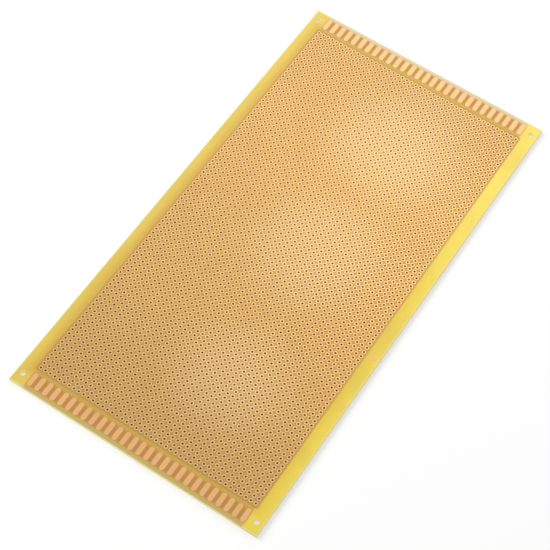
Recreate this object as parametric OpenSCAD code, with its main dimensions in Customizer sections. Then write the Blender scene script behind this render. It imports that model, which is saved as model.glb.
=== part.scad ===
// Prototype board: a single-sided perforated circuit board that lies flat with its copper side up.
// The origin is the middle of the underside. X runs across the short side, Y along the long side, Z up.

/* [Board] */
// Width of the board, across its short side
board_w = 128; // [100:1:160]
// Length of the board, along its long side
board_l = 250; // [160:1:320]
// Thickness of the bare laminate
board_t = 1.6; // [0.8:0.1:2.4]
// Thickness of the copper foil on the upper face
foil_t = 0.035; // [0.018:0.001:0.105]

/* [Lead holes and pads] */
// Distance between neighbouring holes, the same both ways
pitch = 2.54; // [2.5:0.01:5.08]
// Diameter of a drilled lead hole
hole_d = 1; // [0.7:0.05:1.3]
// Outer diameter of the round copper pad about each hole
pad_d = 2.25; // [1.6:0.05:2.4]
// Least distance from a long edge of the board to the first column of holes
side_margin = 8; // [4:0.5:20]
// Grid places from one hole of this solid model to the next, counted from each end of a row or column.
// The real board has a hole and a pad at every place, which makes a needlessly heavy solid.
model_step = 2; // [2:1:6]

/* [Edge contacts] */
// Length of one contact, towards the middle of the board
contact_l = 7; // [4:0.1:12]
// Width of one contact
contact_w = 2.45; // [1.6:0.05:3]
// Bare laminate between two contacts
contact_space = 1.64; // [0.6:0.02:3]
// Bare laminate between the contacts and the board's short edge
contact_inset = 1.8; // [0.3:0.1:4]
// Least bare laminate between the contacts and the first row of pads
contact_gap = 1.8; // [0.5:0.1:6]

/* [Corner holes] */
// Diameter of a corner hole
corner_hole_d = 2.5; // [2:0.1:4]
// Distance from a long edge to the middle of a corner hole
corner_in_x = 3.4; // [2.8:0.1:6]
// Distance from a short edge to the middle of a corner hole
corner_in_y = 5.4; // [3:0.1:8]
// Least bare laminate between a corner hole and the nearest contact
corner_gap = 2.2; // [0.5:0.1:6]

/* [Copper mark] */
// Diameter of the round copper mark in the right margin
mark_d = 2.5; // [1:0.1:3]
// Distance from the right edge to the middle of the mark
mark_in_x = 3.1; // [2:0.1:5]
// Distance from the near edge to the middle of the mark
mark_from_near = 98; // [20:1:120]

/* [Hidden] */

// Segments of a lead hole or its pad, and of the larger rounds
small_fn = 24;
round_fn = 48;

// Holes in a row and in a column: as many as the board has room for between its margins
end_margin = contact_inset + contact_l + contact_gap + pad_d / 2;
columns = floor((board_w - 2 * side_margin) / pitch) + 1;
rows = floor((board_l - 2 * end_margin) / pitch) + 1;
function places(count) =
    [for (k = [0 : count - 1]) if (min(k, count - 1 - k) % model_step == 0) (k - (count - 1) / 2) * pitch];
grid_x = places(columns);
grid_y = places(rows);

// Contacts along a short edge: as many as fit between the corner holes
contact_pitch = contact_w + contact_space;
contact_side = corner_in_x + corner_hole_d / 2 + corner_gap;
contacts = floor((board_w - 2 * contact_side - contact_w) / contact_pitch) + 1;
function contact_x(i) = (i - (contacts - 1) / 2) * contact_pitch;

corner_x = board_w / 2 - corner_in_x;
corner_y = board_l / 2 - corner_in_y;

// One square-cornered plate with the grid of lead holes and one larger hole in each corner.
module laminate() {
    color([0.91, 0.80, 0.38])
        linear_extrude(board_t)
            difference() {
                square([board_w, board_l], center = true);
                for (x = grid_x, y = grid_y) translate([x, y]) circle(d = hole_d, $fn = small_fn);
                for (sx = [-1, 1], sy = [-1, 1])
                    translate([sx * corner_x, sy * corner_y]) circle(d = corner_hole_d, $fn = round_fn);
            }
}

// A pad is a flat ring of foil whose bore is the lead hole itself.
module pad() {
    rotate_extrude($fn = small_fn)
        translate([hole_d / 2, 0]) square([(pad_d - hole_d) / 2, foil_t]);
}

module pads() {
    color([0.90, 0.62, 0.36])
        for (x = grid_x, y = grid_y) translate([x, y, board_t]) pad();
}

// Outline of one contact: a strip with half-round ends, its outer end on the X axis and its length along +Y.
module contact_outline() {
    end_r = contact_w / 2;
    union() {
        translate([-end_r, end_r]) square([contact_w, contact_l - contact_w]);
        for (y = [end_r, contact_l - end_r]) translate([0, y]) circle(r = end_r, $fn = round_fn);
    }
}

module contact_row() {
    for (i = [0 : contacts - 1])
        translate([contact_x(i), contact_inset - board_l / 2, board_t])
            linear_extrude(foil_t) contact_outline();
}

module contacts_near() {
    color([0.93, 0.62, 0.42]) contact_row();
}

module contacts_far() {
    color([0.93, 0.62, 0.42]) rotate(180) contact_row();
}

module copper_mark() {
    color([0.93, 0.62, 0.42])
        translate([board_w / 2 - mark_in_x, mark_from_near - board_l / 2, board_t])
            cylinder(d = mark_d, h = foil_t, $fn = round_fn);
}

laminate();
pads();
contacts_near();
contacts_far();
copper_mark();
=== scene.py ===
# %% [markdown]
# # A prototype board, drilled and finished
# The board is a thin plate of yellow glass laminate. One face carries thousands of small copper
# rings, each about a drilled hole, and a row of long contacts at each short end.
# The solid model gives the plate, its contacts and a sparse grid of holes at the real size.
# This lesson drills the whole grid, lays a ring of foil about every hole, and then spends its
# time on laminate and copper, because on so flat a thing the surface is what one sees.

import bpy
import numpy as np
from mathutils import Matrix, Vector


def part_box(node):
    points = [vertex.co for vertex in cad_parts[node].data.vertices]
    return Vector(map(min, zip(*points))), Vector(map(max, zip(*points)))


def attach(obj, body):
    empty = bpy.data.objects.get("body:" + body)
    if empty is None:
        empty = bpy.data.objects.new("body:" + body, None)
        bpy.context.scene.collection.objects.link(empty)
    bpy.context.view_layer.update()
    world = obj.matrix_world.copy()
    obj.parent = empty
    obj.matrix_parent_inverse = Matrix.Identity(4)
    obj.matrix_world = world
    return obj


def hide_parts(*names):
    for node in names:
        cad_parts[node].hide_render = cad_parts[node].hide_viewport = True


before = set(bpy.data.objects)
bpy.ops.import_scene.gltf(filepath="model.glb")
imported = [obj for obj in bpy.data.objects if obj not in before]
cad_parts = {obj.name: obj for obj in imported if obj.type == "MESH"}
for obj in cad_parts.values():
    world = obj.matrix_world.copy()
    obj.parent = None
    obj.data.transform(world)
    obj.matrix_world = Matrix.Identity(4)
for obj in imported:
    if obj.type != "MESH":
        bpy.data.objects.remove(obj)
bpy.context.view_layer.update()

# %% [markdown]
# ## Units and sizes
# Blender works in metres, while a board maker works in millimetres, so one factor turns one into
# the other. Lengths that the solid model already holds are measured on it, and only what it
# can't tell, such as how far apart the holes really are, is written here.

# %% Measure the board
MM = 0.001
PITCH = 2.54 * MM
HOLE_RADIUS = 0.5 * MM
CONTACT_SPACING = 4.09 * MM
CONTACT_COUNT = 28

plate_high = np.array(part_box("laminate")[1])
pads_high = np.array(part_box("pads")[1])
contacts_low, contacts_high = (np.array(corner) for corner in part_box("contacts_far"))
HALF_WIDTH, HALF_LENGTH = plate_high[:2]
TOP, FOIL_TOP = plate_high[2], pads_high[2]
COLUMNS, ROWS = np.floor(2 * pads_high[:2] / PITCH).astype(int) + 1
column_x = PITCH * (np.arange(COLUMNS) - (COLUMNS - 1) / 2)
row_y = PITCH * (np.arange(ROWS) - (ROWS - 1) / 2)
PAD_RADIUS = pads_high[0] - column_x[-1]
CONTACT_HALF_WIDTH = contacts_high[0] - CONTACT_SPACING * (CONTACT_COUNT - 1) / 2
print(COLUMNS, "columns and", ROWS, "rows, so", COLUMNS * ROWS, "lead holes")
print("pads", round(2 * PAD_RADIUS / MM, 3), "mm across, contacts",
      round(2 * CONTACT_HALF_WIDTH / MM, 3), "mm wide")

# %% [markdown]
# ## The camera
# The photograph looks down on the board from its near right corner with a long lens. A camera
# could be placed by eye, but here its angle, distance and lens follow from the even grid of
# holes, which works like graph paper. The camera is built as a look-at with a small roll.

# %% Place the camera
CAMERA_AIM = Vector((2.16, -16.18, 1.6)) * MM
CAMERA_DISTANCE = 718.45 * MM
CAMERA_AZIMUTH = np.radians(28.184)
CAMERA_ELEVATION = np.radians(59.557)
CAMERA_ROLL = np.radians(5.732)
CAMERA_LENS = 104.135
CAMERA_SENSOR = 36.0
CAMERA_CLIP_START = 10 * MM


def look_at_matrix(aim, distance, azimuth, elevation, roll):
    """A camera's place: it backs off from the aim along its own axis, then rolls about it.

    The level axis is (cos azimuth, sin azimuth, 0), and the axis that points back to the camera
    is (sin azimuth cos elevation, -cos azimuth cos elevation, sin elevation).
    """
    level = Vector((np.cos(azimuth), np.sin(azimuth), 0))
    back = Vector((np.sin(azimuth) * np.cos(elevation),
                   -np.cos(azimuth) * np.cos(elevation),
                   np.sin(elevation)))
    turn = Matrix((level, back.cross(level), back)).transposed().to_4x4()
    return Matrix.Translation(aim + distance * back) @ turn @ Matrix.Rotation(roll, 4, "Z")


camera = bpy.data.objects.new("camera", bpy.data.cameras.new("camera"))
camera.data.sensor_width = CAMERA_SENSOR
camera.data.lens = CAMERA_LENS
camera.data.clip_start = CAMERA_CLIP_START
camera.matrix_world = look_at_matrix(
    CAMERA_AIM, CAMERA_DISTANCE, CAMERA_AZIMUTH, CAMERA_ELEVATION, CAMERA_ROLL)
bpy.context.collection.objects.link(camera)
bpy.context.scene.camera = camera
print("camera at", [round(c, 4) for c in camera.matrix_world.translation])

# %% [markdown]
# ## Colours as they are seen
# A paint program shows a colour as three numbers from 0 to 255, while shaders add up linear
# light. Linear values are hard to picture, so colours are written here as they are seen, and
# one helper turns them into light.


# %% Turn a seen colour into light
def seen(red, green, blue):
    """Linear colour from a seen one, whose share of full is each number divided by 255.

    Below a share of 0.04045 the light is share / 12.92, and from there on it is
    (share + 0.055) / 1.055 to the power 2.4.
    """
    share = np.array([red, green, blue]) / 255
    linear = np.where(share < 0.04045, share / 12.92, ((share + 0.055) / 1.055) ** 2.4)
    return (*linear.tolist(), 1.0)


print("half of full, as seen, is", round(seen(128, 128, 128)[0], 3), "as linear light")

# %% [markdown]
# ## Short words for nodes
# A material is a tree of nodes. Written out, each node takes several lines, so a few helpers
# make a tree read like a sum. The Mix node repeats its sockets for each type of value, so its
# colours have to be found by number.

# %% Helpers for nodes
MIX_FIRST, MIX_SECOND, MIX_RESULT = 6, 7, 2


def fill(tree, socket, value):
    """Links a socket from another node's output, or sets it to a plain value."""
    if isinstance(value, bpy.types.NodeSocket):
        tree.links.new(value, socket)
    else:
        socket.default_value = value


def add(tree, kind, inputs=(), output=0, **settings):
    """Adds a node, applies its settings, fills its inputs and returns one of its outputs."""
    made = tree.nodes.new("ShaderNode" + kind)
    for name, value in settings.items():
        setattr(made, name, value)
    for key, value in dict(inputs).items():
        fill(tree, made.inputs[key], value)
    return made.outputs[output]


def maths(tree, operation, *values):
    """One sum on numbers, such as ADD, MULTIPLY or ABSOLUTE."""
    return add(tree, "Math", dict(enumerate(values)), operation=operation)


def vector_maths(tree, operation, *values, output=0):
    """One sum on places, such as ADD, or one that makes a number of them, such as LENGTH."""
    return add(tree, "VectorMath", dict(enumerate(values)), output, operation=operation)


def xyz_of(tree, place):
    """The three numbers of a place."""
    return add(tree, "SeparateXYZ", {0: place}).node.outputs


def ramp(tree, value, start, end, low=0.0, high=1.0):
    """Goes smoothly from low to high while value goes from start to end."""
    inputs = {"Value": value, "From Min": start, "From Max": end, "To Min": low, "To Max": high}
    return add(tree, "MapRange", inputs, interpolation_type="SMOOTHSTEP")


def blend_colours(tree, amount, first, second):
    """The first colour where amount is 0 and the second where it is 1."""
    inputs = {"Factor": amount, MIX_FIRST: first, MIX_SECOND: second}
    return add(tree, "Mix", inputs, MIX_RESULT, data_type="RGBA")


def scale_colour(tree, colour, amount):
    """Brighter above 1 and darker below it: each part of the colour times the amount."""
    return add(tree, "VectorMath", {0: colour, "Scale": amount}, operation="SCALE")


print("the Mix node's colours are its inputs", MIX_FIRST, "and", MIX_SECOND)

# %% [markdown]
# ## Groups and materials
# Laminate and copper share some effects, such as the clouds in their lacquer. Each of these is a
# node group with named inputs and outputs, built once and placed in every material that shows
# it. What is the same all over a surface isn't worth a node, so it is set on the shader itself.

# %% Helpers for groups and materials
SHADER = "Principled BSDF"


def new_group(name, inputs, outputs):
    """An empty node group with named sockets, and its input and output nodes."""
    tree = bpy.data.node_groups.new(name, "ShaderNodeTree")
    for socket, kind in inputs.items():
        tree.interface.new_socket(socket, in_out="INPUT", socket_type="NodeSocket" + kind)
    for socket, kind in outputs.items():
        tree.interface.new_socket(socket, in_out="OUTPUT", socket_type="NodeSocket" + kind)
    return tree, tree.nodes.new("NodeGroupInput"), tree.nodes.new("NodeGroupOutput")


def use_group(tree, group, inputs):
    """Places a node group in a tree and returns its outputs."""
    made = tree.nodes.new("ShaderNodeGroup")
    made.node_tree = group
    for key, value in inputs.items():
        fill(tree, made.inputs[key], value)
    return made.outputs


def new_material(name, plain):
    """A material, its node tree, its shader's sockets and the place on the piece.

    plain holds the shader's values that are the same all over the surface.
    """
    material = bpy.data.materials.new(name)
    material.use_nodes = True
    tree = material.node_tree
    sockets = tree.nodes[SHADER].inputs
    for socket, value in plain.items():
        sockets[socket].default_value = value
    return material, tree, sockets, add(tree, "TexCoord", output="Object")


def add_relief(tree, sockets, height, strength, depth):
    """Tilts the surface as if the height pushed it out by up to the depth."""
    bump = add(tree, "Bump", {"Height": height, "Strength": strength, "Distance": depth})
    fill(tree, sockets["Normal"], bump)


print("each material is one", SHADER, "and the nodes that feed it")

# %% [markdown]
# ### The drilling grid
# Every pad and every hole differs a little from its neighbours, and a pad is darker at its
# outlines. Thousands of objects, each with a colour of its own, would be slow, so a material
# works out where it is in the grid. Dividing a place by the pitch gives cell numbers, and what
# is left over gives the distance to the cell's own hole. White noise on the cell numbers gives
# each cell a random number.


# %% Group: drilling grid
def grid_group():
    """Distance to the nearest grid place: length of (fraction(p / pitch + shift) - 1/2) * pitch.

    Chance is one random number for each cell.
    """
    tree, given, result = new_group(
        "drilling grid",
        {"Place": "Vector", "Pitch": "Vector", "Shift": "Vector"},
        {"Distance": "Float", "Chance": "Float"})
    pitch = given.outputs["Pitch"]
    cells = vector_maths(tree, "DIVIDE", given.outputs["Place"], pitch)
    cells = vector_maths(tree, "ADD", cells, given.outputs["Shift"])
    number = vector_maths(tree, "FLOOR", cells)
    middle = vector_maths(tree, "ADD", number, (0.5, 0.5, 0.5))
    offset = vector_maths(tree, "SUBTRACT", cells, middle)
    offset = vector_maths(tree, "MULTIPLY", offset, pitch)
    flat = vector_maths(tree, "MULTIPLY", offset, (1, 1, 0))
    distance = vector_maths(tree, "LENGTH", flat, output="Value")
    chance = add(tree, "TexWhiteNoise", {"Vector": number}, noise_dimensions="2D")
    fill(tree, result.inputs["Distance"], distance)
    fill(tree, result.inputs["Chance"], chance)
    return tree


drilling_grid = grid_group()
HOLE_GRID = {"Pitch": (PITCH, PITCH, 1.0), "Shift": (COLUMNS / 2, ROWS / 2, 0.5)}
print("drilling grid group has", len(drilling_grid.nodes), "nodes")

# %% [markdown]
# ### Clouds in the lacquer, and painted light and shade
# Lacquer is sprayed on and dries unevenly, and copper tarnishes in soft clouds. Smooth noise at
# the scale of centimetres gives the clouds. Three broad paler patches lie in a line along the
# board. They have no detail that would need a painted image: a patch is a soft disc, written as
# its middle and its radius in millimetres and how strong it is. The group also gives painted
# light, which brightens the board toward the far right, and painted shade, which darkens its two
# ends.

# %% Group: clouds in the lacquer, and painted light and shade
CLOUD_SIZE = 22 * MM
CLOUD_THIN, CLOUD_THICK = 0.4, 0.7
PALE_PATCHES = [((11.5, 75.8), 45, 0.75), ((11.7, 6.0), 45, 0.65), ((15.1, -70.6), 38, 0.6)]
PATCH_CORE = 0.2
# Painted light from the near left to the far right, and painted shade at both ends.
PAINTED_LIGHT_NEAR, PAINTED_LIGHT_FAR = 0.96, 1.04
END_SHADE_FROM, END_SHADE_TO, END_SHADE_DIM = 50 * MM, 115 * MM, 0.89


def cloud_and_light_group():
    """Four soft values over the board.

    Cloud is smooth noise about 1/2. Patch is a patch's strength in its core and falls to 0 at its
    radius. The third value is painted light: it grows with x + y, so the far right is brighter.
    The fourth is painted shade: a factor that falls below 1 where the distance |y| from the
    middle is large.
    """
    tree, given, result = new_group(
        "lacquer clouds and painted light", {"Place": "Vector"},
        {"Cloud": "Float", "Patch": "Float", "Depth": "Float", "Painted End Shade": "Float"})
    place = given.outputs["Place"]
    slanted = vector_maths(tree, "DOT_PRODUCT", place, (1, 1, 0), output="Value")
    # depth is painted light that grows toward the far right.
    depth = ramp(tree, slanted, -HALF_LENGTH, HALF_LENGTH, PAINTED_LIGHT_NEAR, PAINTED_LIGHT_FAR)
    from_middle = maths(tree, "ABSOLUTE", xyz_of(tree, place)[1])
    end_shade = ramp(tree, from_middle, END_SHADE_FROM, END_SHADE_TO, 1.0, END_SHADE_DIM)
    cloud = add(tree, "TexNoise", {"Vector": place, "Scale": 1 / CLOUD_SIZE, "Detail": 3.0})
    patch = 0.0
    for centre, radius, strength in PALE_PATCHES:
        distance = vector_maths(tree, "DISTANCE", place, Vector((*centre, 0)) * MM,
                                output="Value")
        one = ramp(tree, distance, radius * MM, PATCH_CORE * radius * MM, 0.0, strength)
        patch = maths(tree, "MAXIMUM", one, patch)
    for name, value in (("Cloud", cloud), ("Patch", patch), ("Depth", depth), ("Painted End Shade", end_shade)):
        fill(tree, result.inputs[name], value)
    return tree


def clouded(tree, cloud, most):
    """0 where a cloud is thin, and up to most where it is thick."""
    return ramp(tree, cloud, CLOUD_THIN, CLOUD_THICK, 0.0, most)


clouds_and_painted_light = cloud_and_light_group()
print("clouds about", CLOUD_SIZE / MM, "mm across, with", len(PALE_PATCHES), "patches")

# %% [markdown]
# ### Cloth and grain
# Glass cloth lies just under the skin of the laminate as a plain weave of flat threads. Woven
# threads could be modelled, but under the resin only a faint relief is left of them, and the
# product of two waves, one along each side, makes one like it. A fine grain on top breaks up
# the gloss of plate and foil alike.

# %% Group: weave and grain
THREAD = 0.55 * MM
GRAIN_SIZE = 0.25 * MM
GRAIN_LOW, GRAIN_HIGH = 0.3, 0.7


def weave_group():
    """Relief of the cloth: sin(pi x / thread) times sin(pi y / thread), and a fine noise."""
    tree, given, result = new_group(
        "cloth and grain", {"Place": "Vector"}, {"Weave": "Float", "Grain": "Float"})
    place = given.outputs["Place"]
    waves = [maths(tree, "SINE", maths(tree, "MULTIPLY", along, np.pi / THREAD))
             for along in xyz_of(tree, place)[:2]]
    grain = add(tree, "TexNoise", {"Vector": place, "Scale": 1 / GRAIN_SIZE, "Detail": 4.0})
    fill(tree, result.inputs["Weave"], maths(tree, "MULTIPLY", *waves))
    fill(tree, result.inputs["Grain"], grain)
    return tree


def grained(tree, grain, smooth, rough):
    """Roughness that follows the grain, from smooth where it is low to rough where it is high."""
    return ramp(tree, grain, GRAIN_LOW, GRAIN_HIGH, smooth, rough)


cloth_and_grain = weave_group()
print("threads", THREAD / MM, "mm wide")

# %% [markdown]
# ## Laminate
# The plate is clear resin over glass cloth. Its margins are yellow, the drilled field under its
# amber flux lacquer is browner, and so are the ends between the contacts, where the brown is
# partly painted shade. One colour can't say all that. An image could, but each border here is a
# straight line at a known place, so the material blends a few colours by how far a place lies
# outside a rectangle.

# %% Where the field and the contacts lie
FIELD_HALF = pads_high[:2].tolist()
CONTACTS_HALF = contacts_high[:2].tolist()
CONTACTS_INNER = contacts_low[1]


def outside_of(tree, parts, half_x, half_y):
    """How far a place lies outside a rectangle about the origin, below 0 inside it.

    It is the larger of |x| - half_x and |y| - half_y.
    """
    beyond_x = maths(tree, "SUBTRACT", maths(tree, "ABSOLUTE", parts[0]), half_x)
    beyond_y = maths(tree, "SUBTRACT", maths(tree, "ABSOLUTE", parts[1]), half_y)
    return maths(tree, "MAXIMUM", beyond_x, beyond_y)


print("field", [round(2 * half / MM, 2) for half in FIELD_HALF], "mm, contacts from",
      round(CONTACTS_INNER / MM, 2), "to", round(CONTACTS_HALF[1] / MM, 2), "mm from the middle")

# %% [markdown]
# ### Margins and ends
# Light gets in at the cut edge, so the margin is palest there. It is warmer beside the field and
# on the left, with soft clouds of olive. The right side is lighter, which is painted light, and
# the far right is lighter still, which is painted sheen. Each short end has three bands: before
# the contacts, among them, and the strip beyond them. The brown among the contacts is partly
# painted shade, and the far strip is paler with painted sheen. Every border is a soft ramp, and a
# pair of values below gives the two places where it starts and ends.

# %% Colours of the margins and the ends
LEFT_INNER, LEFT_OUTER = seen(225, 178, 67), seen(239, 207, 86)
# The right colours are lighter than the left ones, which is painted light.
RIGHT_INNER, RIGHT_OUTER = seen(242, 207, 64), seen(248, 221, 79)
# Painted sheen at the far right.
PAINTED_SHEEN_FAR_RIGHT = seen(255, 229, 94)
OLIVE, OLIVE_MOST = seen(222, 190, 74), 0.4
EDGE_GLOW = seen(244, 228, 136)
# The brown between the contacts is partly painted shade.
STRIP, BETWEEN = seen(212, 172, 66), seen(192, 142, 58)
# The far end is paler than the near one, which is painted sheen.
NEAR_END, FAR_END = seen(207, 182, 96), seen(231, 208, 160)
INNER_TO_OUTER = (0.5 * MM, 5.5 * MM)
TO_PAINTED_SHEEN = (50 * MM, 150 * MM)
TO_EDGE = (-1.0 * MM, -0.1 * MM)
TO_CONTACTS = (CONTACTS_INNER - 0.8 * MM, CONTACTS_INNER + 1.6 * MM)
PAST_CONTACTS = (CONTACTS_HALF[1] - 1.2 * MM, CONTACTS_HALF[1] + 0.8 * MM)


def margin_colour(tree, parts, off_field, cloud):
    """Yellow, warmer beside the field and on the left, clouded olive, and pale at the rim.

    The right side is lighter, which is painted light, and the far right, where x + y is large, is
    lighter still with painted sheen.
    """
    rightward = ramp(tree, parts[0], -HALF_WIDTH, HALF_WIDTH)
    inner = blend_colours(tree, rightward, LEFT_INNER, RIGHT_INNER)
    outer = blend_colours(tree, rightward, LEFT_OUTER, RIGHT_OUTER)
    margin = blend_colours(tree, ramp(tree, off_field, *INNER_TO_OUTER), inner, outer)
    far_right_sheen = ramp(tree, maths(tree, "ADD", parts[0], parts[1]), *TO_PAINTED_SHEEN)
    margin = blend_colours(tree, far_right_sheen, margin, PAINTED_SHEEN_FAR_RIGHT)
    margin = blend_colours(tree, clouded(tree, cloud, OLIVE_MOST), margin, OLIVE)
    off_edge = outside_of(tree, parts, HALF_WIDTH, HALF_LENGTH)
    return blend_colours(tree, ramp(tree, off_edge, *TO_EDGE), margin, EDGE_GLOW)


def contact_band_colour(tree, parts):
    """Along a short end: olive before the contacts, browner between them, partly as painted
    shade, and the outer strip, paler at the far end with painted sheen.
    """
    from_middle = maths(tree, "ABSOLUTE", parts[1])
    farward = ramp(tree, parts[1], -HALF_LENGTH, HALF_LENGTH)
    band = blend_colours(tree, ramp(tree, from_middle, *TO_CONTACTS), STRIP, BETWEEN)
    beyond = ramp(tree, from_middle, *PAST_CONTACTS)
    return blend_colours(tree, beyond, band, blend_colours(tree, farward, NEAR_END, FAR_END))


print("margin warm for", INNER_TO_OUTER[1] / MM, "mm beside the field")

# %% [markdown]
# ### Copper seen from below
# The laminate lets some light through, so from below each pad and each contact shows as a soft
# darker shape. They could be modelled, but nothing is there to touch, so the colour does it. A
# contact is a strip with round ends, which is every place near enough to a straight spine.

# %% Copper seen from below
UNDERSIDE, THROUGH_COPPER = seen(226, 196, 112), seen(196, 158, 92)
PRINT_SOFT = 0.15 * MM
PAST_FIELD = (0.1 * MM, 0.0)
PAST_CONTACT_ROW = (0.3 * MM, 0.1 * MM)


def from_contact(tree, parts):
    """Distance to the nearest contact's spine, and 1 inside the rectangle of all contacts.

    The spine is the straight piece between the middles of a contact's two half-round ends.
    Across it the distance is |fraction(x / spacing) - 1/2| * spacing.
    """
    across = maths(tree, "DIVIDE", parts[0], CONTACT_SPACING)
    across = maths(tree, "SUBTRACT", across, maths(tree, "FLOOR", across))
    across = maths(tree, "ABSOLUTE", maths(tree, "SUBTRACT", across, 0.5))
    across = maths(tree, "MULTIPLY", across, CONTACT_SPACING)
    middle = (CONTACTS_HALF[1] + CONTACTS_INNER) / 2
    half_spine = (CONTACTS_HALF[1] - CONTACTS_INNER) / 2 - CONTACT_HALF_WIDTH
    along = maths(tree, "SUBTRACT", maths(tree, "ABSOLUTE", parts[1]), middle)
    past = maths(tree, "SUBTRACT", maths(tree, "ABSOLUTE", along), half_spine)
    both = add(tree, "CombineXYZ", {0: across, 1: maths(tree, "MAXIMUM", past, 0.0)})
    distance = vector_maths(tree, "LENGTH", both, output="Value")
    within = ramp(tree, outside_of(tree, parts, *CONTACTS_HALF), *PAST_CONTACT_ROW)
    return distance, within


def through_print(tree, parts, grid_distance, off_field):
    """1 below the copper of a pad or a contact and 0 beside it, with a soft line between."""
    rings = ramp(tree, grid_distance, PAD_RADIUS + PRINT_SOFT, PAD_RADIUS - PRINT_SOFT)
    rings = maths(tree, "MULTIPLY", rings, ramp(tree, off_field, *PAST_FIELD))
    distance, within = from_contact(tree, parts)
    strips = ramp(tree, distance, CONTACT_HALF_WIDTH + PRINT_SOFT,
                  CONTACT_HALF_WIDTH - PRINT_SOFT)
    return maths(tree, "MAXIMUM", rings, maths(tree, "MULTIPLY", strips, within))


print("copper shows through with a line", 2 * PRINT_SOFT / MM, "mm soft")

# %% [markdown]
# ### The whole laminate
# The field is amber, deeper round each pad, partly where the lacquer gathers and partly as
# painted shade, pale in the patches, and darker at both ends as painted shade. The material picks
# field, end or margin on the upper face and the through-print on the lower one. Then the cloth
# tints it a little and gives it relief, painted light brightens it toward the far right, and the
# grain varies its gloss.

# %% Material: laminate
AMBER, AMBER_DEEP, AMBER_PALE = seen(208, 162, 80), seen(196, 148, 68), seen(219, 178, 115)
DEEP_REACH = 0.5 * MM
TO_CONTACT_ROW = (1.0 * MM, -0.4 * MM)
FIELD_TO_MARGIN = (0.0, 1.2 * MM)
THREAD_TONE = 0.03
LAMINATE_RELIEF, LAMINATE_RELIEF_DEPTH = 0.12, 0.02 * MM
LAMINATE_SMOOTH, LAMINATE_ROUGH = 0.26, 0.44


def upper_colour(tree, parts, grid, clouds, off_field):
    """Amber in the field, the bands at the short ends and yellow in the margins."""
    # Darker round each pad: partly lacquer gathered there, partly painted shade.
    near_pad = ramp(tree, grid["Distance"], PAD_RADIUS + DEEP_REACH, PAD_RADIUS)
    amber = blend_colours(tree, near_pad, AMBER, AMBER_DEEP)
    amber = blend_colours(tree, clouds["Patch"], amber, AMBER_PALE)
    # Painted shade darkens the field at both ends.
    amber = scale_colour(tree, amber, clouds["Painted End Shade"])
    aside = maths(tree, "SUBTRACT", maths(tree, "ABSOLUTE", parts[0]), CONTACTS_HALF[0])
    around = blend_colours(tree, ramp(tree, aside, *TO_CONTACT_ROW),
                           margin_colour(tree, parts, off_field, clouds["Cloud"]),
                           contact_band_colour(tree, parts))
    return blend_colours(tree, ramp(tree, off_field, *FIELD_TO_MARGIN), amber, around)


def laminate_material():
    """The upper face's colours above half the thickness, and the through-print below it."""
    material, tree, sockets, place = new_material("yellow laminate", {})
    parts = xyz_of(tree, place)
    grid = use_group(tree, drilling_grid, {"Place": place, **HOLE_GRID})
    clouds = use_group(tree, clouds_and_painted_light, {"Place": place})
    cloth = use_group(tree, cloth_and_grain, {"Place": place})
    off_field = outside_of(tree, parts, *FIELD_HALF)
    upper = upper_colour(tree, parts, grid, clouds, off_field)
    copper = through_print(tree, parts, grid["Distance"], off_field)
    lower = blend_colours(tree, copper, UNDERSIDE, THROUGH_COPPER)
    colour = blend_colours(tree, maths(tree, "GREATER_THAN", parts[2], TOP / 2), lower, upper)
    # The cloth's faint tint, times painted light that brightens toward the far right.
    tone_and_painted_light = maths(tree, "MULTIPLY_ADD", cloth["Weave"], THREAD_TONE, clouds["Depth"])
    fill(tree, sockets["Base Color"], scale_colour(tree, colour, tone_and_painted_light))
    relief = maths(tree, "ADD", cloth["Weave"], cloth["Grain"])
    add_relief(tree, sockets, relief, LAMINATE_RELIEF, LAMINATE_RELIEF_DEPTH)
    shine = grained(tree, cloth["Grain"], LAMINATE_SMOOTH, LAMINATE_ROUGH)
    fill(tree, sockets["Roughness"], shine)
    return material


laminate = laminate_material()
print("laminate has", len(laminate.node_tree.nodes), "nodes")

# %% [markdown]
# ## Walls of holes and the cut rim
# A drill leaves the walls of a hole rough, dry and scorched brown, and hardly any light falls in.
# The guillotined rim shows the plies of glass as pale lines along the plate. The wide corner
# holes are pale inside, which is painted light, as if light came through the resin of their
# walls. The resin carries light sideways, and it comes out where the plate is cut, so a faint
# glow is added there, on the rim and in the corner holes. All are faces of the same plate, so
# they are three more materials on it.

# %% Materials: drilled wall, cut edge and corner hole
WALL_BROWN, WALL_DARK = seen(218, 162, 86), seen(190, 136, 66)
WALL_PLAIN = {"Roughness": 0.85}
WALL_RELIEF, WALL_RELIEF_DEPTH = 0.6, 0.04 * MM
RIM_PALE, RIM_YELLOW = seen(248, 240, 200), seen(236, 222, 150)
# Pale corner hole walls: painted light.
CORNER_GLOW_PALE, CORNER_GLOW_CREAM = seen(254, 246, 222), seen(250, 236, 196)
CUT_PLAIN = {"Roughness": 0.6, "Emission Strength": 0.06}
CUT_RELIEF, CUT_RELIEF_DEPTH = 0.35, 0.05 * MM
PLY = 0.18 * MM
PLY_STRETCH = (0.012, 0.012, 1.0)
PLY_LOW, PLY_HIGH = 0.35, 0.65


def drilled_wall_material():
    """Scorched brown, a little lighter or darker from one hole to the next."""
    material, tree, sockets, place = new_material("drilled wall", WALL_PLAIN)
    grid = use_group(tree, drilling_grid, {"Place": place, **HOLE_GRID})
    cloth = use_group(tree, cloth_and_grain, {"Place": place})
    colour = blend_colours(tree, grid["Chance"], WALL_BROWN, WALL_DARK)
    fill(tree, sockets["Base Color"], colour)
    add_relief(tree, sockets, cloth["Grain"], WALL_RELIEF, WALL_RELIEF_DEPTH)
    return material


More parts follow.
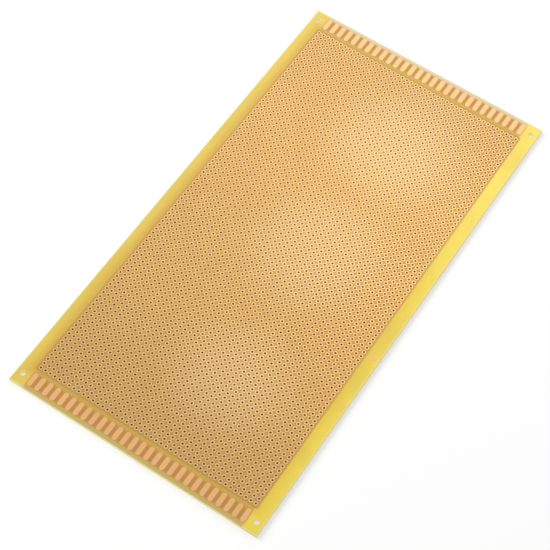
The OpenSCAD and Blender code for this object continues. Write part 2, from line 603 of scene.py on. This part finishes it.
def cut_edge_material(name, light, dark):
    """Plies as noise that is stretched along the plate and tight across its thickness."""
    material, tree, sockets, place = new_material(name, CUT_PLAIN)
    stretched = add(tree, "Mapping", {"Vector": place, "Scale": PLY_STRETCH})
    plies = add(tree, "TexNoise", {"Vector": stretched, "Scale": 1 / PLY, "Detail": 3.0})
    colour = blend_colours(tree, ramp(tree, plies, PLY_LOW, PLY_HIGH), dark, light)
    fill(tree, sockets["Base Color"], colour)
    fill(tree, sockets["Emission Color"], colour)
    add_relief(tree, sockets, plies, CUT_RELIEF, CUT_RELIEF_DEPTH)
    return material


drilled_wall = drilled_wall_material()
cut_edge = cut_edge_material("cut edge", RIM_PALE, RIM_YELLOW)
corner_wall_painted_glow = cut_edge_material("corner hole wall with painted glow", CORNER_GLOW_PALE, CORNER_GLOW_CREAM)
print("plies about", PLY / MM, "mm thick")

# %% [markdown]
# ## Copper
# Etching eats a little under the edge of the foil, so every outline is a darker line. A node
# that finds edges would need a finer mesh, while here the outlines are known: a place on a pad
# takes its distance from the middle of the hole, and one on a contact from the spine that the
# underside has used already.

# %% Wear along the outlines
BORE_WEAR, PAD_RIM_WEAR = 0.16 * MM, 0.12 * MM
STRIP_WEAR_FROM = 0.77 * CONTACT_HALF_WIDTH


def worn_ring(tree, distance):
    """1 at the inner and the outer line of a pad, 0 in the middle of its copper."""
    inner = ramp(tree, distance, HOLE_RADIUS + BORE_WEAR, HOLE_RADIUS)
    outer = ramp(tree, distance, PAD_RADIUS - PAD_RIM_WEAR, PAD_RADIUS)
    return maths(tree, "MAXIMUM", inner, outer)


def worn_strip(tree, place):
    """1 along the outline of a contact, 0 in the middle of its copper."""
    distance, within = from_contact(tree, xyz_of(tree, place))
    rim = ramp(tree, distance, STRIP_WEAR_FROM, CONTACT_HALF_WIDTH)
    return maths(tree, "MULTIPLY", rim, within)


print("pads worn for", BORE_WEAR / MM, "mm round the bore and", PAD_RIM_WEAR / MM, "mm outside")

# %% [markdown]
# Thin foil under clear lacquer is satin, warm and uneven: each pad and each contact has its own
# tint, and the paler clouds run over all of it. The pads take a random number from the drilling
# grid, and the contacts from a grid of their own, with cells longer than a contact. Painted light
# brightens the foil toward the far right as a painted sheen, and painted shade darkens the pads
# at both ends. The foil is only part metal and has a clear coat over it, because through lacquer
# it is no mirror.

# %% Materials: pads and contacts
PAD_LIGHT, PAD_WARM = seen(235, 188, 106), seen(227, 175, 93)
PAD_RIM, PAD_PALE = seen(208, 156, 86), seen(245, 205, 139)
CONTACT_LIGHT, CONTACT_PINK = seen(233, 174, 105), seen(226, 162, 99)
CONTACT_RIM = seen(196, 138, 78)
CONTACT_CELL = 50 * MM
CONTACT_GRID = {"Pitch": (CONTACT_SPACING, CONTACT_CELL, 1.0),
                "Shift": (CONTACT_COUNT / 2, 0.5, 0.5)}
FOIL_PLAIN = {"Metallic": 0.55, "Coat Weight": 0.6, "Coat IOR": 1.8, "Coat Roughness": 0.3}
FOIL_RELIEF, FOIL_RELIEF_DEPTH = 0.15, 0.02 * MM
FOIL_SMOOTH, FOIL_ROUGH = 0.3, 0.5
TINT_MOST, WARM_MOST, WORN_MOST = 0.6, 0.5, 0.6


def copper_material(name, grid_values, light, warm, rim, on_pads):
    """Satin foil: a tint for each cell of the grid, soft clouds, worn outlines, fine grain,
    painted light toward the far right and, on pads, painted shade at both ends.
    """
    material, tree, sockets, place = new_material(name, FOIL_PLAIN)
    grid = use_group(tree, drilling_grid, {"Place": place, **grid_values})
    clouds = use_group(tree, clouds_and_painted_light, {"Place": place})
    cloth = use_group(tree, cloth_and_grain, {"Place": place})
    tint = maths(tree, "MULTIPLY", grid["Chance"], TINT_MOST)
    colour = blend_colours(tree, tint, light, warm)
    colour = blend_colours(tree, clouded(tree, clouds["Cloud"], WARM_MOST), colour, warm)
    colour = blend_colours(tree, clouds["Patch"], colour, PAD_PALE)
    worn = worn_ring(tree, grid["Distance"]) if on_pads else worn_strip(tree, place)
    colour = blend_colours(tree, maths(tree, "MULTIPLY", worn, WORN_MOST), colour, rim)
    # Painted light: the foil brightens toward the far right as a painted sheen, and pads get
    # painted shade at both ends.
    tone_and_painted_light = maths(tree, "MULTIPLY", clouds["Depth"], clouds["Depth"])
    if on_pads:
        tone_and_painted_light = maths(tree, "MULTIPLY", tone_and_painted_light, clouds["Painted End Shade"])
    fill(tree, sockets["Base Color"], scale_colour(tree, colour, tone_and_painted_light))
    add_relief(tree, sockets, cloth["Grain"], FOIL_RELIEF, FOIL_RELIEF_DEPTH)
    fill(tree, sockets["Roughness"], grained(tree, cloth["Grain"], FOIL_SMOOTH, FOIL_ROUGH))
    return material


pad_copper = copper_material(
    "pad copper", HOLE_GRID, PAD_LIGHT, PAD_WARM, PAD_RIM, on_pads=True)
contact_copper = copper_material(
    "contact copper", CONTACT_GRID, CONTACT_LIGHT, CONTACT_PINK, CONTACT_RIM, on_pads=False)
print("copper for pads and for contacts")

# %% [markdown]
# ## From arrays to a mesh
# Thousands of holes are too many for a loop over vertices. Each shape below is worked out as
# whole arrays of points and faces, and one helper hands them to Blender. A face array holds
# one face in each row, so triangles, quads and pentagons come in arrays of their own.


# %% Turn arrays into a piece
def circle_points(sides, radius):
    """Points of a circle, (radius cos a, radius sin a), at even steps of the angle a."""
    angle = 2 * np.pi * np.arange(sides) / sides
    return radius * np.stack([np.cos(angle), np.sin(angle)], axis=1)


def at_height(flat, height):
    """Flat points (x, y) as points in space: (x, y, height)."""
    return np.concatenate([flat, np.full((*flat.shape[:-1], 1), height)], axis=-1)


def make_piece(name, points, face_arrays, looks):
    """A mesh object at the origin from points (n, 3) and a list of face arrays (m, corners).

    looks gives the material of each face array, and the mesh holds each material once.
    """
    materials = list(dict.fromkeys(looks))
    mesh = bpy.data.meshes.new(name)
    mesh.from_pydata(points, [], [face for array in face_arrays for face in array.tolist()])
    for material in materials:
        mesh.materials.append(material)
    numbers = np.repeat([materials.index(look) for look in looks],
                        [len(array) for array in face_arrays])
    mesh.polygons.foreach_set("material_index", numbers.astype(np.int32))
    mesh.update()
    piece = bpy.data.objects.new(name, mesh)
    bpy.context.collection.objects.link(piece)
    triangles = sum(len(array) * (array.shape[1] - 2) for array in face_arrays)
    print(name, "has", len(points), "points and", triangles, "triangles")
    return piece


print("a circle of 4 sides starts at", circle_points(4, 1.0)[0].tolist())

# %% [markdown]
# ## The drilled plate
# A boolean cut would be slow and messy with thousands of holes. The plate is a grid of cells
# instead: one cell about each lead hole, wider cells in the margin, and a larger hole in each
# corner cell. Neighbouring cells share their corner points, so the plate is one closed skin.
# First comes one kind of cell, for all holes of a size at once.

# %% Shape the cells with a hole
HOLE_SIDES = 10
CORNER_HOLE_SIDES = 24
CORNER_HOLE_RADIUS = 1.25 * MM
CORNER_HOLE_INSET = (3.4 * MM, 5.4 * MM)


def cell_corners(cell_i, cell_j, line_count):
    """Numbers of a cell's four grid points, anticlockwise from the one at high x and high y."""
    steps_i, steps_j = np.array([1, 0, 0, 1]), np.array([1, 1, 0, 0])
    return (cell_i[:, None] + steps_i) * line_count + cell_j[:, None] + steps_j


def cells_with_holes(corners, low_shift, centres, radius, sides, first):
    """Faces between each cell's four corners and its own round hole, and the hole's wall.

    Each side of the hole's circle makes a triangle with the corner of its own quarter, and a
    triangle fills in between two corners where the quarter changes. The lower face repeats the
    upper one with its point numbers moved by low_shift or by sides, and turned over.
    """
    count = len(centres)
    flat = centres[:, None, :] + circle_points(sides, radius)[None]
    points = np.concatenate([at_height(flat, TOP), at_height(flat, 0.0)], axis=1).reshape(-1, 3)
    side = np.arange(sides)
    hole = first + 2 * sides * np.arange(count)[:, None] + side[None]
    following = np.roll(hole, -1, axis=1)
    quarter = np.floor((side + 0.5) * 4 / sides).astype(int)
    turned = np.flatnonzero(quarter != np.roll(quarter, 1))
    from_corner = corners[:, np.roll(quarter, 1)[turned]]
    to_corner = corners[:, quarter[turned]]
    fans = np.stack([corners[:, quarter], following, hole], axis=2).reshape(-1, 3)
    fans_low = np.stack([corners[:, quarter] + low_shift, hole + sides, following + sides],
                        axis=2).reshape(-1, 3)
    gaps = np.stack([from_corner, to_corner, hole[:, turned]], axis=2).reshape(-1, 3)
    gaps_low = np.stack([to_corner + low_shift, from_corner + low_shift,
                         hole[:, turned] + sides], axis=2).reshape(-1, 3)
    walls = np.stack([hole, following, following + sides, hole + sides], axis=2).reshape(-1, 4)
    return points, np.concatenate([fans, gaps, fans_low, gaps_low]), walls


print("lead holes with", HOLE_SIDES, "sides and corner holes with", CORNER_HOLE_SIDES)

# %% [markdown]
# A guillotined edge isn't perfectly sharp, and a narrow bevel catches a thin line of light. A
# Bevel modifier would round the thousands of holes too, so the rim is worked out like the rest:
# two rings of points stand out a little and join the outermost points of both faces.

# %% Shape the bevelled rim
RIM_BEVEL = 0.08 * MM


def plate_rim(x_count, y_count, points, low_shift, first):
    """The bevelled rim: two rings of points stand out from the loops round both faces.

    A ring's points are the loop's, moved out by the bevel in x or y or both and in by it in z.
    """
    i, j = np.arange(x_count), np.arange(y_count)
    loop_i = np.concatenate([i[:-1], np.full(y_count - 1, i[-1]), i[:0:-1],
                             np.zeros(y_count - 1, int)])
    loop_j = np.concatenate([np.zeros(x_count - 1, int), j[:-1],
                             np.full(x_count - 1, j[-1]), j[:0:-1]])
    loop = loop_i * y_count + loop_j
    out_x = ((loop_i == i[-1]) * 1.0 - (loop_i == 0)) * RIM_BEVEL
    out_y = ((loop_j == j[-1]) * 1.0 - (loop_j == 0)) * RIM_BEVEL
    upper = points[loop] + np.stack([out_x, out_y, np.full(len(loop), -RIM_BEVEL)], axis=1)
    lower = at_height(upper[:, :2], RIM_BEVEL)
    count = len(loop)
    rings = [loop, first + np.arange(count), first + count + np.arange(count), loop + low_shift]
    bands = [np.stack([above, below, np.roll(below, -1), np.roll(above, -1)], axis=1)
             for above, below in zip(rings[:-1], rings[1:])]
    return np.concatenate([upper, lower]), bands


print("rim bevelled by", RIM_BEVEL / MM, "mm")

# %% [markdown]
# Now the plate can be put together. The lines of the grid run halfway between the holes, so each
# hole is in the middle of its cell, and one more line each way runs round the outside. Cells
# in the field and in the corners have holes, and the others are plain quads on both faces.


# %% Put the drilled plate together
def drilled_plate():
    """The whole plate: grid points on both faces, then the rings of each hole, then the rim."""
    outer_x, outer_y = HALF_WIDTH - RIM_BEVEL, HALF_LENGTH - RIM_BEVEL
    inner_x = PITCH * (np.arange(COLUMNS + 1) - COLUMNS / 2)
    inner_y = PITCH * (np.arange(ROWS + 1) - ROWS / 2)
    x_lines = np.concatenate([[-outer_x], inner_x, [outer_x]])
    y_lines = np.concatenate([[-outer_y], inner_y, [outer_y]])
    flat = np.stack(np.meshgrid(x_lines, y_lines, indexing="ij"), axis=2).reshape(-1, 2)
    points = np.concatenate([at_height(flat, TOP), at_height(flat, 0.0)])
    low_shift = len(flat)
    cell_i, cell_j = (a.ravel() for a in np.meshgrid(
        np.arange(len(x_lines) - 1), np.arange(len(y_lines) - 1), indexing="ij"))
    in_field_x = (cell_i > 0) & (cell_i <= COLUMNS)
    in_field_y = (cell_j > 0) & (cell_j <= ROWS)
    drilled, corner = in_field_x & in_field_y, ~in_field_x & ~in_field_y
    plain = ~(drilled | corner)
    corners = cell_corners(cell_i, cell_j, len(y_lines))
    lead_centres = np.stack([column_x[cell_i[drilled] - 1], row_y[cell_j[drilled] - 1]], axis=1)
    corner_place = np.array([HALF_WIDTH, HALF_LENGTH]) - CORNER_HOLE_INSET
    corner_side = np.stack([np.sign(cell_i[corner] - 1), np.sign(cell_j[corner] - 1)], axis=1)
    lead_points, lead_faces, lead_walls = cells_with_holes(
        corners[drilled], low_shift, lead_centres, HOLE_RADIUS, HOLE_SIDES, len(points))
    points = np.concatenate([points, lead_points])
    big_points, big_faces, big_walls = cells_with_holes(
        corners[corner], low_shift, corner_place * corner_side, CORNER_HOLE_RADIUS,
        CORNER_HOLE_SIDES, len(points))
    points = np.concatenate([points, big_points])
    rim_points, bands = plate_rim(len(x_lines), len(y_lines), points, low_shift, len(points))
    points = np.concatenate([points, rim_points])
    flats = [lead_faces, big_faces, corners[plain], corners[plain][:, ::-1] + low_shift]
    looks = [laminate] * len(flats) + [drilled_wall, corner_wall_painted_glow] + [cut_edge] * len(bands)
    return points, [*flats, lead_walls, big_walls, *bands], looks


plate = make_piece("drilled_board", *drilled_plate())
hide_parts("laminate")
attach(plate, "root")

# %% [markdown]
# ## The ring pads
# Every pad is the same flat ring of foil. Its inner edge repeats the hole's ten corners, so it
# ends where the drill cut it, and its outer edge has twice as many, because that is the line
# the eye follows. One ring is shifted to every grid place with a single sum of arrays. Three
# pieces, each a third of the rows, stay light enough to be saved in full.

# %% Lay the ring pads
PAD_PIECES = ["ring_pads_near", "ring_pads_middle", "ring_pads_far"]


def one_ring():
    """Points and faces of one ring, with its middle at the origin and its bottom at height 0.

    A pentagon of each face joins one side of the inner circle to two of the outer circle.
    """
    flat = np.concatenate([circle_points(HOLE_SIDES, HOLE_RADIUS),
                           circle_points(2 * HOLE_SIDES, PAD_RADIUS)])
    points = np.concatenate([at_height(flat, FOIL_TOP - TOP), at_height(flat, 0.0)])
    count = len(flat)
    inner = np.arange(HOLE_SIDES)
    inner_next = np.roll(inner, -1)
    outer = HOLE_SIDES + np.arange(2 * HOLE_SIDES)
    outer_next = np.roll(outer, -1)
    upper = np.stack([inner, outer[::2], outer[1::2], outer_next[1::2], inner_next], axis=1)
    lower = upper[:, ::-1] + count
    bore = np.stack([inner, inner_next, inner_next + count, inner + count], axis=1)
    rim = np.stack([outer, outer + count, outer_next + count, outer_next], axis=1)
    return points, np.concatenate([upper, lower]), np.concatenate([bore, rim])


def ring_block(rows_y):
    """One ring at every column of these rows: ring points plus each grid place."""
    points, fives, fours = one_ring()
    places = np.stack(np.meshgrid(column_x, rows_y, [TOP], indexing="ij"), axis=3).reshape(-1, 3)
    moved = (places[:, None, :] + points[None]).reshape(-1, 3)
    shift = len(points) * np.arange(len(places))[:, None, None]
    return moved, [(fives[None] + shift).reshape(-1, 5), (fours[None] + shift).reshape(-1, 4)]


for name, rows_y in zip(PAD_PIECES, np.split(row_y, len(PAD_PIECES))):
    ring_points, ring_faces = ring_block(rows_y)
    rings = make_piece(name, ring_points, ring_faces, [pad_copper] * len(ring_faces))
    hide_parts("pads")
    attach(rings, "root")

# %% [markdown]
# ## Contacts and mark
# The solid model already has the true outline of the contacts and the round mark, so they
# stay, and only get their copper. A carried-over node keeps its place and its mesh.


# %% Finish the carried-over foil
def dress(node_name, material):
    """Gives a carried-over node one material and no other."""
    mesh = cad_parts[node_name].data
    mesh.materials.clear()
    mesh.materials.append(material)


for node_name in ("contacts_near", "contacts_far", "copper_mark"):
    dress(node_name, contact_copper)
    print(node_name, "is copper")

# %% [markdown]
# ## Floor and light
# A white table seen by the camera should stay white without flooding the board with light.
# The floor is a pale matt surface plus a touch of glow that only camera, mirror and glass
# rays see, which lifts it to white but keeps the soft shadow on the board's right side.

# %% Set the floor
FLOOR_HALF = 3.0
FLOOR_DROP = 0.05 * MM
FLOOR_WHITE = 0.93
FLOOR_LIFT = 0.172


def seen_directly(tree):
    """1 for rays from the camera, from mirrors and through glass, and 0 for lighting rays."""
    paths = tree.nodes.new("ShaderNodeLightPath").outputs
    both = maths(tree, "MAXIMUM", paths["Is Camera Ray"], paths["Is Glossy Ray"])
    return maths(tree, "MAXIMUM", both, paths["Is Transmission Ray"])


def floor_material():
    """Matt white plus a little emission for the rays that show it."""
    material = bpy.data.materials.new("pale floor")
    material.use_nodes = True
    tree = material.node_tree
    tree.nodes.remove(tree.nodes[SHADER])
    matt = add(tree, "BsdfDiffuse", {"Color": (FLOOR_WHITE, FLOOR_WHITE, FLOOR_WHITE, 1)})
    lift = maths(tree, "MULTIPLY", seen_directly(tree), FLOOR_LIFT)
    glow = add(tree, "Emission", {"Strength": lift})
    both = add(tree, "AddShader", {0: matt, 1: glow})
    fill(tree, tree.nodes["Material Output"].inputs["Surface"], both)
    return material


floor_corners = np.array([[-1, -1], [1, -1], [1, 1], [-1, 1]]) * FLOOR_HALF
floor = make_piece("floor", at_height(floor_corners, -FLOOR_DROP),
                   [np.array([[0, 1, 2, 3]])], [floor_material()])

# %% [markdown]
# The light is that of a product table: an even white surround, one large soft lamp from the
# left that gives the shadow, and a weaker one from the far end that gives the copper its sheen.
# Small lamps would draw hard shadows and bright spots on the foil, so both are large.

# %% Place the lamps
KEY_PLACE, KEY_SIZE, KEY_POWER = Vector((-1.6, -0.2, 1.1)), 1.0, 17.5
FILL_PLACE, FILL_SIZE, FILL_POWER = Vector((-0.12, 0.68, 0.56)), 0.8, 1.9


def soft_lamp(name, place, size, power):
    """A square lamp that faces the board's middle."""
    lamp = bpy.data.lights.new(name, "AREA")
    lamp.size, lamp.energy = size, power
    stand = bpy.data.objects.new(name, lamp)
    stand.matrix_world = (Matrix.Translation(place)
                          @ place.to_track_quat("Z", "Y").to_matrix().to_4x4())
    bpy.context.collection.objects.link(stand)
    print(name, power, "W at", [round(c, 2) for c in place])


soft_lamp("key", KEY_PLACE, KEY_SIZE, KEY_POWER)
soft_lamp("fill", FILL_PLACE, FILL_SIZE, FILL_POWER)

# %% [markdown]
# The surround is white to the camera and dimmer as a light, so that a pale backdrop doesn't
# wash the colours out. The Standard view shows a colour about as it is written.

# %% Set the surround and the view
SURROUND = 0.56

world = bpy.data.worlds.new("studio")
bpy.context.scene.world = world
world.use_nodes = True
surround = world.node_tree.nodes["Background"]
surround.inputs["Color"].default_value = (1, 1, 1, 1)
strength = add(world.node_tree, "MapRange", {
    "Value": seen_directly(world.node_tree), "To Min": SURROUND, "To Max": 1.0})
fill(world.node_tree, surround.inputs["Strength"], strength)
bpy.context.scene.view_settings.view_transform = "Standard"
print("surround lights the board at", SURROUND, "of the white that the camera sees")
